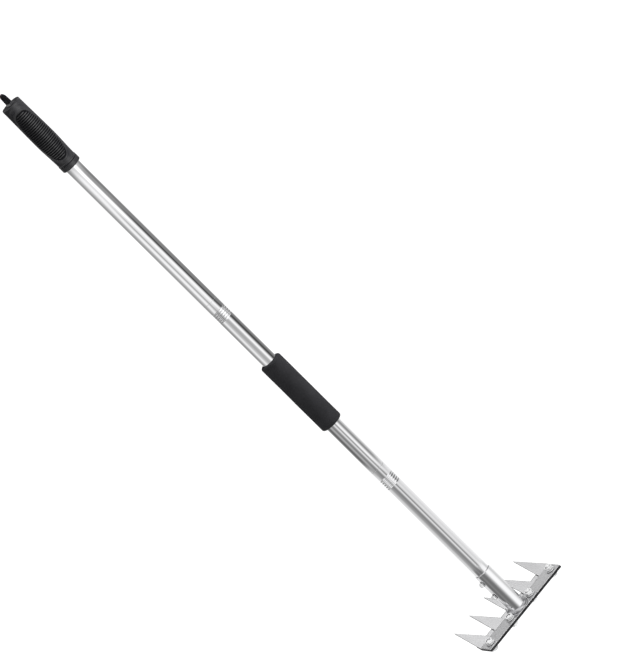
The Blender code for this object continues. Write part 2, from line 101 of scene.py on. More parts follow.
def head_place(points):
    """Flat head frame to model: origin + x along the bar + y up the bar + z out of its front."""
    x, y, z = points[..., :1], points[..., 1:2], points[..., 2:]
    return HEAD_ORIGIN + x * [1.0, 0.0, 0.0] + y * HEAD_UP + z * HEAD_OUT


print("bend line at", HEAD_ORIGIN.round(5))

# %% [markdown]
# ## From points to a piece
#
# Every piece below is a grid of points worked out with numpy. Three small builders close such
# grids. `turned` takes rings of points, and joins each ring to the next, as on a lathe, and
# `capped` does so for a solid with two ends. `layered` takes a stack of equal grids and a mask of
# the cells to keep: the first grid becomes the front, the last one the back, and wherever the mask
# ends a wall joins them. Plates with teeth and holes, and a tube with holes, are one case of that.
# `make_piece` puts the arrays into a mesh, hangs the piece on the body it rides on, and hides the
# solid that it stands for.
# %% Put points and faces into a piece
def add_mesh(name, points, faces, materials):
    """A new mesh object in the scene."""
    mesh = bpy.data.meshes.new(name)
    mesh.from_pydata(points.tolist(), [], faces)
    for material in materials:
        mesh.materials.append(material)
    added = bpy.data.objects.new(name, mesh)
    bpy.context.scene.collection.objects.link(added)
    return added


def make_piece(name, points, faces, finishes, body, node, material_slot, sharp=32.0, marks=None):
    """Points (n, 3), face arrays and finishes; marks gives each face's finish number."""
    used, renumbered = np.unique(np.concatenate([f.ravel() for f in faces]), return_inverse=True)
    lists, start = [], 0
    for array in faces:
        lists += renumbered[start:start + array.size].reshape(array.shape).tolist()
        start += array.size
    piece = add_mesh(name, points[used], lists, finishes)
    mesh = piece.data
    if marks is not None:
        mesh.polygons.foreach_set("material_index", np.asarray(marks, np.int32))
    mesh.update()
    mesh.shade_smooth()
    mesh.set_sharp_from_angle(angle=math.radians(sharp))
    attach(piece, body)
    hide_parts(node)
    print(f"{name}: {len(mesh.vertices)} points, {len(mesh.polygons)} faces")
    return piece


# %% Join rings of points
def ring_faces(rows, columns, closed, first=0):
    """Cell corners of a grid that is closed round its columns, and round its rows where closed."""
    index = first + np.arange(rows * columns).reshape(rows, columns)
    index = np.concatenate([index, index[:, :1]], axis=1)
    if closed:
        index = np.concatenate([index, index[:1]], axis=0)
    corners = [index[:-1, :-1], index[1:, :-1], index[1:, 1:], index[:-1, 1:]]
    return np.stack(corners, axis=-1).reshape(-1, 4)


def turned(grid):
    """Rings (rows, columns, 3), down the outer side and up the inner one, as a closed skin."""
    rows, columns = grid.shape[:2]
    return grid.reshape(-1, 3), [ring_faces(rows, columns, closed=True)]


def capped(grid):
    """Rings from one end of a solid to the other; the first and last ring are one point each."""
    rows, columns = grid.shape[0] - 2, grid.shape[1]
    points = np.concatenate([grid[0, :1], grid[1:-1].reshape(-1, 3), grid[-1, :1]])
    ring = 1 + np.arange(columns)
    following = np.roll(ring, -1)
    last = ring + (rows - 1) * columns
    top = np.stack([np.zeros_like(ring), ring, following], axis=-1)
    end = np.stack([np.full_like(ring, len(points) - 1), np.roll(last, -1), last], axis=-1)
    return points, [ring_faces(rows, columns, closed=False, first=1), top, end]


# %% Close a stack of grids
def layered(layers, keep, around=False, rim=0):
    """Front and back cells where keep is true, and walls between the layers where it ends.

    The third result gives finish numbers: 0 on the front and back, 3 on the walls of the first
    rim layers and 1 on the other walls.
    """
    layers = np.asarray(layers)
    count, rows, columns = layers.shape[:3]
    index = np.arange(count * rows * columns).reshape(count, rows, columns)
    if around:
        index = np.concatenate([index, index[:, :, :1]], axis=2)
    a, b, c, d = index[:, :-1, :-1], index[:, 1:, :-1], index[:, 1:, 1:], index[:, :-1, 1:]
    front, back = np.stack([a[0], b[0], c[0], d[0]], -1), np.stack([a[-1], d[-1], c[-1], b[-1]], -1)
    skin = [front[keep], back[keep]]
    above = np.pad(keep, ((1, 1), (0, 0)))
    right = keep if around else np.pad(keep, ((0, 0), (0, 1)))
    left = np.roll(right, 1, axis=1)
    line = index[:, :, :right.shape[1]]
    edges = (
        (index[:, :, :-1], index[:, :, 1:], above[1:] & ~above[:-1]),
        (index[:, :, 1:], index[:, :, :-1], above[:-1] & ~above[1:]),
        (line[:, 1:], line[:, :-1], right & ~left),
        (line[:, :-1], line[:, 1:], left & ~right),
    )
    walls, marks = [], [0] * sum(map(len, skin))
    for start, end, edge in edges:
        for layer in range(count - 1):
            quad = [start[layer], end[layer], end[layer + 1], start[layer + 1]]
            walls.append(np.stack(quad, -1)[edge])
            marks += [3 if layer < rim else 1] * len(walls[-1])
    return layers.reshape(-1, 3), skin + walls, marks


# %% Small shapes that many pieces share
def smooth(low, high, value):
    """0 below low, 1 above high, and an S-shaped ease between them."""
    share = np.clip((value - low) / (high - low), 0.0, 1.0)
    return share * share * (3.0 - 2.0 * share)


def angles_round(columns):
    """The angles of that many columns round an axis."""
    return np.arange(columns) * 2.0 * math.pi / columns


def rounding(edge, steps):
    """A quarter circle as distances inward, from edge to 0, and along, from 0 to edge."""
    quarter = np.linspace(0.0, math.pi / 2, steps)
    return edge * (1 - np.sin(quarter)), edge * (1 - np.cos(quarter))


def spin(radius, height, columns):
    """Rings on the z axis: radius may be one number per row, or one per point."""
    azimuth = angles_round(columns)
    radius = np.broadcast_to(np.asarray(radius).reshape(len(radius), -1), (len(radius), columns))
    height = np.broadcast_to(np.asarray(height).reshape(len(height), -1), (len(height), columns))
    return np.stack([radius * np.cos(azimuth), radius * np.sin(azimuth), height], axis=-1)


# %% [markdown]
# ## Finishes
#
# A finish is what the light does at the surface, so each one is built from what happened to the
# metal, foam or plastic: polishing leaves hair-fine lines along the tube, brushing leaves deeper
# ones along the sheet, zinc is bright and slightly cloudy, foam is full of small pores, and moulded
# plastic has a fine grain. All of them are noise patterns on Object coordinates, so that they stay
# on the piece from every side. `finish` takes one pattern for the colour, one for the roughness and
# one or two for the relief. `add_node` keeps the wiring short, and the studio uses it again.
# %% One node, one noise, one range, one ramp
def add_node(tree, kind, inputs, **settings):
    """One shader node; each input gets a plain value or the output of another node."""
    made = tree.nodes.new("ShaderNode" + kind)
    for setting, value in settings.items():
        setattr(made, setting, value)
    for key, value in inputs.items():
        if isinstance(value, bpy.types.NodeSocket):
            tree.links.new(value, made.inputs[key])
        else:
            made.inputs[key].default_value = value
    return made.outputs


def grain(tree, per_metre, detail=4.0, tilt=0.0):
    """Noise after a turn of tilt round x; grains per metre are one number, or one per axis."""
    place = add_node(tree, "TexCoord", {})["Object"]
    turned_to = add_node(tree, "Mapping", {"Vector": place, "Rotation": (tilt, 0.0, 0.0)})["Vector"]
    scale = np.full(3, per_metre, float).tolist()
    stretched = add_node(tree, "Mapping", {"Vector": turned_to, "Scale": scale})["Vector"]
    return add_node(tree, "TexNoise", {"Vector": stretched, "Scale": 1.0, "Detail": detail})["Fac"]


def spread(tree, pattern, low, high, start=0.3, end=0.7, **settings):
    """Goes from low to high as the pattern goes from start to end."""
    span = {"From Min": start, "From Max": end, "To Min": low, "To Max": high}
    return add_node(tree, "MapRange", {"Value": pattern, **span}, **settings)["Result"]


def colour_ramp(tree, share, stops):
    """Colours between stops of (position, colour)."""
    ramp = tree.nodes.new("ShaderNodeValToRGB")
    elements = ramp.color_ramp.elements
    while len(elements) < len(stops):
        elements.new(0.5)
    for element, (position, colour) in zip(elements, stops):
        element.position, element.color = position, (*colour, 1.0)
    tree.links.new(share, ramp.inputs["Fac"])
    return ramp.outputs["Color"]


# %% A finish
def finish(name, metallic, colour, rough, *reliefs, specular=0.5, tilt=0.0, span=(0.3, 0.7)):
    """A Principled shader that is driven by noise.

    colour is (grains, dark, light), rough is (grains, low, high), and each relief is (grains,
    height in metres, strength), on top of the one before it. The noise's detail may follow in a
    colour or a relief.
    """
    material = bpy.data.materials.new(name)
    material.use_nodes = True
    tree = material.node_tree
    shader = tree.nodes["Principled BSDF"].inputs
    grains, dark, light, *detail = colour
    cloud = grain(tree, grains, *detail, tilt=tilt)
    cloud = colour_ramp(tree, cloud, ((span[0], dark), (span[1], light)))
    tree.links.new(cloud, shader["Base Color"])
    grains, low, high = rough
    tree.links.new(spread(tree, grain(tree, grains, tilt=tilt), low, high), shader["Roughness"])
    below = {}
    for grains, height, strength, *detail in reliefs:
        pattern = grain(tree, grains, *detail, tilt=tilt)
        bump = {"Height": pattern, "Distance": height, "Strength": strength}
        below["Normal"] = add_node(tree, "Bump", {**bump, **below})["Normal"]
    tree.links.new(below["Normal"], shader["Normal"])
    shader["Metallic"].default_value = metallic
    shader["Specular IOR Level"].default_value = specular
    return material


# %% Polished tube, weld and threads
polished = finish(
    "polished_tube", 1.0, ((60, 60, 6), (0.83, 0.83, 0.84), (0.89, 0.89, 0.90)),
    ((900, 900, 12), 0.03, 0.065), ((1500, 1500, 15), 0.000003, 1.0, 2.0))
weld_metal = finish(
    "glossy_weld", 1.0, (150, (0.42, 0.42, 0.44), (0.62, 0.62, 0.63)),
    (500, 0.08, 0.16), (300, 0.00001, 1.0))
thread_metal = finish(
    "thread_metal", 1.0, (300, (0.48, 0.48, 0.50), (0.62, 0.62, 0.62)),
    ((200, 200, 2500), 0.22, 0.40), ((100, 100, 3000), 0.00001, 1.0))


# %% Brushed sheet, along the bar and along the teeth
def brushed(name, streak, cloud, tilt, dark, light):
    """Sheet steel brushed in one direction: long thin streaks in colour, roughness and relief."""
    return finish(
        name, 1.0, (cloud, dark, light, 5.0), (streak, 0.18, 0.30), (streak, 0.00002, 1.0, 2.0),
        tilt=tilt, span=(0.25, 0.75))


# The bar's copy is a little darker than the teeth's. That is painted shade: bar and teeth are one
# sheet, and the bar looks darker only by how light falls on it.
bar_metal = brushed(
    "brushed_bar", (25, 2200, 2200), (20, 60, 60), LEAN, (0.68, 0.68, 0.69), (0.77, 0.77, 0.78))
tooth_metal = brushed(
    "brushed_teeth", (2200, 25, 2200), (60, 20, 60), LEAN + BEND,
    (0.73, 0.73, 0.74), (0.81, 0.81, 0.82))
# Painted shade: the walls of the cut edges are near black, for the shade on these narrow faces.
painted_shade_cut_edge = finish(
    "painted_shade_cut_edge", 0.7, (160, (0.015, 0.015, 0.017), (0.055, 0.055, 0.058)),
    ((1800, 1800, 60), 0.32, 0.55), ((2600, 2600, 90), 0.00003, 1.0))
# Painted highlight: the rounded rim of each cut edge is near white and half metallic, so that it
# shows as a bright line along the face.
painted_highlight_rim = finish(
    "rim_painted_highlight", 0.5, (400, (0.86, 0.86, 0.87), (0.96, 0.96, 0.96)),
    (900, 0.24, 0.38), (1200, 0.000005, 1.0))

# %% Zinc plating, bright on the faces, and its painted shade for the corners
zinc = finish(
    "zinc_plating", 0.40, (260, (0.94, 0.945, 0.95), (0.98, 0.982, 0.985), 6.0),
    (700, 0.13, 0.22), (900, 0.000002, 1.0))
# Painted shade: a near-black copy of the zinc for the corner between hexagon and flange, the
# flange's lower rim, the bolt's dish and the nut's bore, where shade falls.
zinc_painted_shade = finish(
    "zinc_painted_corner_shade", 0.6, (500, (0.04, 0.04, 0.043), (0.12, 0.12, 0.125)),
    (900, 0.35, 0.60), (1500, 0.00001, 1.0))

# %% Foam and moulded plastic
foam_skin = finish(
    "black_foam", 0.0, ((55, 55, 40), (0.025, 0.025, 0.0275), (0.036, 0.036, 0.0395)),
    (400, 0.85, 1.0), (1300, 0.0002, 0.7, 3.0), ((170, 170, 120), 0.0002, 0.4),
    specular=0.08)
plastic = finish(
    "moulded_black", 0.0, ((70, 70, 50), (0.010, 0.010, 0.0125), (0.014, 0.014, 0.0175)),
    (600, 0.21, 0.32), (2200, 0.00003, 1.0, 2.0), specular=0.62)
# Painted shade: a darker, matter copy of the moulded black for the slots, the groove, the end face
# and the tab's tongue.
painted_shade_plastic = finish(
    "matt_black_painted_shade", 0.0, (300, (0.005, 0.005, 0.0065), (0.009, 0.009, 0.011)),
    (600, 0.42, 0.58), (1500, 0.00002, 1.0, 2.0), specular=0.10)
rib_plastic = finish(
    "worn_ribs", 0.0, ((90, 90, 60), (0.010, 0.010, 0.0115), (0.015, 0.015, 0.017)),
    (500, 0.17, 0.26), (2200, 0.00002, 1.0, 2.0), specular=0.80)
print("finishes:", ", ".join(m.name for m in bpy.data.materials if m.use_nodes))

# %% [markdown]
# ## The pole
#
# Three thin tubes of polished steel, screwed together. Blender's cylinder would give the plain
# ones, but the upper end of the middle and lower tube has rings rolled into it, which screw onto a
# threaded sleeve inside the tube above. So each tube is a profile turned on the pole's axis, and
# the rolled rings are one helical groove: the radius dips with a cosine of height plus turn, and
# fades in and out over half a ring. It is shallower than in the solid, which brings its glints
# nearer to the picture. The bore stays plain, clear of the sleeve.
# %% Pole sections
THREAD_FROM_SEAM, RING_PITCH, RINGS, RING_DEPTH, RING_MARGIN = 0.018, 0.0044, 5, 0.0004, 0.001
EDGE, SEAM_GAP, POLE_COLUMNS = 0.00015, 0.0001, 144


def rolled_dip(below, azimuth):
    """A cosine of distance below the seam / pitch + turns, faded at its ends, times the depth."""
    along = (below - THREAD_FROM_SEAM) / RING_PITCH
    fade = smooth(0.0, 0.5, along) * (1.0 - smooth(RINGS - 0.5, RINGS, along))
    return RING_DEPTH * fade * (0.5 - 0.5 * np.cos(2.0 * math.pi * along + azimuth))


def pole_section(which, top, low, rings):
    """Down the outer side with softened ends, and back up the plain bore."""
    length = top - low
    end_in, end_down = rounding(EDGE, 4)
    ring_to = THREAD_FROM_SEAM + RINGS * RING_PITCH + RING_MARGIN
    ringed = np.linspace(THREAD_FROM_SEAM - RING_MARGIN, ring_to, 96 if rings else 4)
    run = np.linspace(ring_to + RING_MARGIN, length - 0.002, 12)
    side = np.concatenate([[2 * EDGE, 0.002, 0.009], ringed, run, [length - 2 * EDGE]])
    depth = np.concatenate([end_down, side, length - end_down[::-1]])
    azimuth = angles_round(POLE_COLUMNS)
    outer = POLE_RADIUS - np.concatenate([end_in, 0 * side, end_in[::-1]])[:, None] + 0 * azimuth
    if rings:
        outer = outer - rolled_dip(depth[:, None], azimuth)
    bore = np.full((8, POLE_COLUMNS), POLE_RADIUS - POLE_WALL)
    height = np.concatenate([top - depth, np.linspace(low, top, 8)])
    points, faces = turned(spin(np.concatenate([outer, bore]), height, POLE_COLUMNS))
    make_piece(
        which + "_pole_tube", points, faces, [polished], which + "_section", which + "_pole",
        "polished_steel")


pole_section("upper", GRIP_TOP - GRIP_END_WALL - SEAT_GAP, UPPER_SEAM + SEAM_GAP / 2, False)
pole_section("middle", UPPER_SEAM - SEAM_GAP / 2, LOWER_SEAM + SEAM_GAP / 2, True)
pole_section("lower", LOWER_SEAM - SEAM_GAP / 2, POLE_END, True)

# %% [markdown]
# ## The sleeves in the joints
#
# They are hidden inside the tubes and their solids have the right shape, so they stay as they are
# and only get the finish of turned, unpolished steel.
# %% Sleeves keep their solids
for name in ("upper_thread_sleeve", "lower_thread_sleeve"):
    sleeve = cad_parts[name]
    for place in sleeve.material_slots:
        place.material = thread_metal
    print(name, "keeps its solid,", len(sleeve.data.polygons), "faces")

# %% [markdown]
# ## The foam sleeve
#
# A soft black tube that is pushed over the middle section. It could be one smooth cylinder, but
# foam is never quite true: its radius wanders by a tenth of a millimetre, and its ends are rounded
# by the cut. So the profile has round shoulders and a sum of slow waves is added to the radius.
# The pores are left to the finish.
# %% Foam sleeve
FOAM_TOP, FOAM_LENGTH, FOAM_RADIUS, FOAM_EDGE = UPPER_SEAM - 0.142, 0.149, 0.0205, 0.004
FOAM_WANDER = 0.0001
columns = 120
azimuth = angles_round(columns)
inward, along = rounding(FOAM_EDGE, 9)
side = np.linspace(FOAM_EDGE, FOAM_LENGTH - FOAM_EDGE, 64)[1:-1]
down = np.concatenate([along, side, FOAM_LENGTH - inward])
outer = FOAM_RADIUS - np.concatenate([inward, 0 * side, along])[:, None]
three_waves = np.sin(3 * azimuth + 60 * down[:, None])
two_waves = np.sin(2 * azimuth - 95 * down[:, None] + 1.3)
outer = outer - FOAM_WANDER * (1.0 + 0.5 * three_waves + 0.5 * two_waves)
bore = np.full((6, columns), POLE_RADIUS + SEAT_GAP)
rows = np.concatenate([FOAM_TOP - down, FOAM_TOP - np.linspace(FOAM_LENGTH, 0.0, 6)])
points, faces = turned(spin(np.concatenate([outer, bore]), rows, columns))
foam = make_piece(
    "foam_sleeve", points, faces, [foam_skin], "middle_section", "foam_grip", "foam", sharp=60.0)

# %% [markdown]
# ## The top grip
#
# One black moulding with a palm swell, a panel of cross slots on its two broad sides, a collar
# with a groove at its lower end, and a blind bore for the pole. It could be carved with Booleans,
# but the slots sit on a curved side, so it is simpler to let the radius do everything: it is the
# turned profile, less the depth of the slots wherever a point lies inside an oval panel. Finish
# numbers per face give the slots, the groove and the end face a matt and darker black, which is
# painted shade, and make the ribs between them shiny, as rubbing hands do. The collar is 2.5 mm
# longer than the solid's, because the picture has its groove there.
# %% Shape of the grip's side
GRIP_LENGTH = GRIP_TOP - GRIP_LOW
GRIP_EDGE, PALM_AT, BORE_RADIUS = 0.0016, 0.082, POLE_RADIUS + SEAT_GAP
COLLAR_LENGTH, COLLAR_STEP, COLLAR_EDGE = 0.0125, 0.0010, 0.0020
GROOVE_AT, GROOVE_DEPTH = GRIP_LENGTH - 0.0095, 0.0006
PANEL_MIDDLE, PANEL_HALF, PANEL_TURN, PANEL_POWER = 0.0705, 0.0545, math.radians(68.0), 2.6
PANEL_AZIMUTH = CAMERA_AZIMUTH - math.radians(2.0)
SLOT_PITCH, SLOT_DEPTH, MOAT_SHARE, BORDER_DEPTH = 0.0039, 0.0017, 0.8, 0.00035
# Where each form comes and goes: across half a pitch, then as reach, and along the half length.
SLOT_WALL, SLOT_END = (0.40, 0.66), (0.95, 0.99)
MOAT_START, MOAT_END, MOAT_ALONG = (0.915, 0.94), (0.965, 0.99), (0.62, 0.84)
BORDER_START, BORDER_END = (1.02, 1.05), (1.14, 1.24)


def grip_radius(depth):
    """Radius below the top: cosine eases to the palm and on to the waist, then the collar."""
    waist_at = GRIP_LENGTH - COLLAR_LENGTH - COLLAR_STEP
    palm, waist = (
        0.5 - 0.5 * np.cos(math.pi * np.clip((depth - start) / (end - start), 0, 1))
        for start, end in ((0, PALM_AT), (PALM_AT, waist_at)))
    radius = GRIP_TOP_RADIUS + (GRIP_PALM_RADIUS - GRIP_TOP_RADIUS) * palm
    radius = radius + (GRIP_WAIST_RADIUS - GRIP_PALM_RADIUS) * waist
    collar = smooth(waist_at, waist_at + COLLAR_STEP, depth)
    radius = radius + (COLLAR_RADIUS - GRIP_WAIST_RADIUS) * collar
    return radius - GROOVE_DEPTH * (1.0 - smooth(0.0003, 0.0008, np.abs(depth - GROOVE_AT)))


def panel_reach(depth, azimuth):
    """0 in the middle of an oval panel and 1 on its outline.

    It is the 2.6th root of the sum of two shares to the power 2.6: the share of the panel's half
    turn, and the share of its half length.
    """
    turn = (azimuth - PANEL_AZIMUTH + math.pi / 2) % math.pi - math.pi / 2
    round_share, long_share = np.abs(turn / PANEL_TURN), np.abs((depth - PANEL_MIDDLE) / PANEL_HALF)
    return (round_share ** PANEL_POWER + long_share ** PANEL_POWER) ** (1 / PANEL_POWER)


def slot_depth(depth, azimuth):
    """Round-bottomed cross slots inside the panel, a moat at its ends and a shallow border."""
    reach = panel_reach(depth, azimuth)
    across = np.abs(((depth - PANEL_MIDDLE) / SLOT_PITCH) % 1.0 - 0.5) * 2.0
    slots = smooth(*SLOT_WALL, across) * (1.0 - smooth(*SLOT_END, reach))
    at_ends = smooth(*MOAT_ALONG, np.abs(depth - PANEL_MIDDLE) / PANEL_HALF)
    moat = MOAT_SHARE * at_ends * smooth(*MOAT_START, reach) * (1.0 - smooth(*MOAT_END, reach))
    border = BORDER_DEPTH * smooth(*BORDER_START, reach) * (1.0 - smooth(*BORDER_END, reach))
    return SLOT_DEPTH * np.maximum(slots, moat) + border


# %% Grip body
columns = 240
azimuth = angles_round(columns)
collar_at = GRIP_LENGTH - COLLAR_LENGTH
# Rows by depth: few over the shoulder, nine to a slot, and close at the collar's step and groove.
side = np.concatenate([
    np.linspace(GRIP_EDGE, 0.018, 12)[1:], np.arange(0.0185, 0.1308, SLOT_PITCH / 9),
    np.linspace(collar_at - 0.0012, collar_at + 0.0002, 7), [0.1337],
    GROOVE_AT + np.linspace(-0.0009, 0.0009, 13), np.linspace(0.1375, GRIP_LENGTH - COLLAR_EDGE, 5),
])
top_in, top_down = rounding(GRIP_EDGE, 6)
low_in, low_up = rounding(COLLAR_EDGE, 6)
outer_depth = np.concatenate([top_down, side, GRIP_LENGTH - low_in])
outer_radius = np.concatenate([GRIP_TOP_RADIUS - top_in, grip_radius(side), COLLAR_RADIUS - low_up])
bore_depth = np.linspace(GRIP_LENGTH, GRIP_END_WALL, 6)
depth = np.concatenate([[0.0, 0.0], outer_depth, bore_depth, [GRIP_END_WALL]])
radius = np.concatenate([[0.0, 0.008], outer_radius, np.full(6, BORE_RADIUS), [0.0]])
radius = np.repeat(radius[:, None], columns, axis=1)
slotted = slice(2, 2 + len(top_in) + len(side))
radius[slotted] -= slot_depth(depth[slotted][:, None], azimuth[None, :])
points, faces = capped(spin(radius, GRIP_TOP - depth, columns))

# %% Which finish each face of the grip gets
middle_depth = (depth[1:-2] + depth[2:-1])[:, None] / 2
middle_turn = azimuth[None, :] + math.pi / columns
on_side = radius[1:-2] > BORE_RADIUS + 0.0005
in_slot = on_side & (slot_depth(middle_depth, middle_turn) > 0.45 * SLOT_DEPTH)
on_rib = on_side & ~in_slot & (panel_reach(middle_depth, middle_turn) < 0.97)
in_groove = on_side & (np.abs(middle_depth - GROOVE_AT) < 0.0005)
end_face = middle_depth < GRIP_EDGE / 4
# Slots, groove and end face get the darker plastic, a painted shade.
marks = np.where(in_slot | in_groove | end_face, 1, np.where(on_rib, 2, 0))
marks = np.concatenate([marks.ravel(), np.ones(columns), np.zeros(columns)]).astype(int)
make_piece(
    "top_grip", points, faces, [plastic, painted_shade_plastic, rib_plastic], "upper_section",
    "handle_grip", "moulded", sharp=50.0, marks=marks)

# %% [markdown]
# ### The hang tab
#
# A tongue on the grip's end with a hole for a peg. It is a ring of points round the hole: at each
# angle the outline lies on the round tip or on the straight sides, and a rounded box section is
# carried round from the hole's edge to the outline and back. The thickness shrinks towards the
# tip, and close to the grip's end face the section flares out as a fillet, which shines like the
# grip while the tongue is matt and darker, a painted shade.
# %% Hang tab
TAB_EDGE, TAB_FILLET, TAB_SUNK, HOLE_EDGE = 0.0020, 0.0030, 0.003, 0.0008
columns, across, steps = 144, 22, 5
angle = angles_round(columns)
toward_y, toward_z = np.cos(angle), np.sin(angle)
to_side = TAB_RADIUS / np.maximum(np.abs(toward_y), 1e-6)
to_floor = np.where(toward_z < 0, (GRIP_TOP - TAB_SUNK) / np.minimum(toward_z, -1e-6), 1.0)
outline = np.where(toward_z >= 0, TAB_RADIUS, np.minimum(to_side, to_floor))
share = np.linspace(0.0, 1.0, across)[:, None]
flat_from = HANG_HOLE_RADIUS + HOLE_EDGE
face_out = flat_from + share * (outline - TAB_EDGE - flat_from)
edge_in, edge_drop = rounding(TAB_EDGE, steps)
hole_out, hole_drop = rounding(HOLE_EDGE, steps)
rim_out = outline - edge_in[:, None]
hole_edge = HANG_HOLE_RADIUS + hole_out[:, None] + 0 * outline
reach = np.concatenate([
    face_out, rim_out[1:], rim_out[::-1], face_out[::-1][1:], hole_edge[1:], hole_edge[::-1][:-1]])
drop = np.concatenate([
    np.zeros(across), edge_drop[1:], edge_drop[::-1], np.zeros(across - 1), hole_drop[1:],
    hole_drop[::-1][:-1]])
side_sign = np.repeat([1, -1, 1], [across + steps - 1, across + 2 * steps - 2, steps - 1])
tab_y, tab_z = reach * toward_y, reach * toward_z

# %% Taper and fillet
from_root = np.clip((tab_z - GRIP_TOP) / (TAB_RADIUS - GRIP_TOP), 0.0, 1.0)
half = (TAB_ROOT_THICKNESS + (TAB_TIP_THICKNESS - TAB_ROOT_THICKNESS) * from_root) / 2
tab_x = side_sign[:, None] * (half - drop[:, None])
height = np.clip(tab_z - GRIP_TOP, 0.0, TAB_FILLET)
flare = TAB_FILLET - np.sqrt(TAB_FILLET ** 2 - (TAB_FILLET - height) ** 2)
tab_x = tab_x + 0.8 * flare * tab_x / half
tab_y = tab_y + flare * np.clip(tab_y / TAB_RADIUS, -1, 1) ** 3
# Faces near the root get the grip's plastic; the rest of the tongue gets the darker copy, a painted
# shade.
at_root = (tab_z + np.roll(tab_z, -1, axis=0)) / 2 < GRIP_TOP + TAB_FILLET
points, faces = turned(np.stack([tab_x, tab_y, tab_z], axis=-1))
make_piece(
    "hang_tab", points, faces, [painted_shade_plastic, plastic], "upper_section",
    "handle_grip", "moulded", sharp=50.0, marks=at_root.ravel().astype(int))

# %% [markdown]
# ## The folded sheets
#
# The head is two steel sheets, cut out and then folded by ten degrees along one line. They could be
# drawn as curves and extruded, but a grid keeps the surface even for the fold. Each row of the grid
# is a line across the head, and its points are spread between the edges of the teeth, so that the
# cells between two teeth can be left out. Round each bolt the square rings of the grid are eased
# into circles, and the cells inside the smallest one are left out too: that is the bolt hole.
# The fold is a formula: each point keeps its distance from the sheet's front, and the front
# follows an arc at the bend. A few layers with slightly smaller outlines round off the cut edge.
# %% Fold and stack a flat sheet
FOLD_HALF, CUT_ROUND = 0.0007, 0.0005


def fold(points):
    """The front follows a path whose slope grows to the bend angle in the fold; z stays off it."""
    x, y, z = points[..., 0], points[..., 1], points[..., 2]
    slope = BEND * np.clip((FOLD_HALF - y) / (2 * FOLD_HALF), 0.0, 1.0)
    arc_radius = 2 * FOLD_HALF / BEND
    beyond = np.minimum(y + FOLD_HALF, 0)
    run = FOLD_HALF - arc_radius * np.sin(slope) + beyond * math.cos(BEND)
    rise = arc_radius * (1 - np.cos(slope)) - beyond * math.sin(BEND)
    run, rise = np.where(y > FOLD_HALF, y, run), np.where(y > FOLD_HALF, 0.0, rise)
    return np.stack([x, run + z * np.sin(slope), rise + z * np.cos(slope)], axis=-1)


def sheet_layers(outline, front):
    """Front to back: the outline grows over a quarter circle, stays, and shrinks again."""
    insets, depths = rounding(CUT_ROUND, 4)
    stack = []
    for inset, z in zip([*insets, *insets[::-1]], [*-depths, *(depths[::-1] - SHEET)]):
        x, y = outline(inset)
        stack.append(head_place(fold(np.stack([x, y, np.full_like(x, front + z)], axis=-1))))
    return stack


# %% Ease square rings into bolt holes
BOLT_HOLE, HOLE_RING, EASE_RING = 0.0043, 2, 5


def ring_scale(ring, length, radius, hole, ease, growth):
    """How square rings move: onto a circle at the hole's ring, and not at all at the ease ring."""
    mix = np.clip((ring - hole) / (ease - hole), 0.0, 1.0)
    circle = radius * (1 + growth * np.maximum(ring - hole, 0))
    return np.where(ring < hole, 1.0, mix + (1 - mix) * circle / np.maximum(length, 1e-9))


def bolt_holes(x, y, inset):
    """Moves the rings of the grid round each bolt."""
    x, y = x.copy(), y.copy()
    step_y, step_x = np.mgrid[-EASE_RING:EASE_RING + 1, -EASE_RING:EASE_RING + 1]
    ring = np.maximum(np.abs(step_x), np.abs(step_y))
    for column in BOLT_COLUMNS:
        block = (BOLT_ROW + step_y, column + step_x)
        middle_x, middle_y = x[BOLT_ROW, column], y[BOLT_ROW, column]
        away_x, away_y = x[block] - middle_x, y[block] - middle_y
        length = np.hypot(away_x, away_y)
        scale = ring_scale(ring, length, BOLT_HOLE + inset, HOLE_RING, EASE_RING, 0.35)
        x[block] = middle_x + away_x * scale
        y[block] = middle_y + away_y * scale
    return x, y


def drill(keep):
    """Leaves out the cells inside the bolt holes."""
    rows = slice(BOLT_ROW - HOLE_RING, BOLT_ROW + HOLE_RING)
    for column in BOLT_COLUMNS:
        keep[rows, column - HOLE_RING:column + HOLE_RING] = False
    return keep


# %% The tooth plate's grid
TOOTH_CELLS, GAP_CELLS, BAR_CELLS, BOLT_ROW = (21, 20, 20, 20, 21), 9, (9, 40, 40, 40, 9), 10
BOLT_COLUMNS = np.cumsum(BAR_CELLS)[:-1]
stations = (-BAR_HALF, *BOLT_X, BAR_HALF)
bar_lines = np.concatenate([[-BAR_HALF]] + [
    np.linspace(start, end, cells + 1)[1:]
    for start, end, cells in zip(stations, stations[1:], BAR_CELLS)])
bar_rows = np.concatenate([
    np.linspace(BAR_HEIGHT, BOLT_Y, BOLT_ROW + 1), np.linspace(BOLT_Y, BOLT_Y / 10, 10)[1:]])
fold_rows = np.linspace(FOLD_HALF, -FOLD_HALF, 4)
NOTCH_ROW = len(bar_rows) + len(fold_rows)
tooth_rows = np.concatenate([bar_rows, fold_rows, np.linspace(-NOTCH_DEPTH, -TOOTH_LENGTH, 22)])


def taper(y):
    """How far the side of a tooth has moved in: its share of the length times its half width."""
    return (TOOTH_ROOT - TOOTH_TIP) / 2 * np.maximum(-y[:, :1], 0.0) / TOOTH_LENGTH


def row_heights(rows, lower, inset):
    """The y of every point; the cut edges above and at the lower rows move in by the inset."""
    y = np.repeat(rows[:, None], len(bar_lines), axis=1)
    y[0] -= inset
    y[lower] += inset
    return y


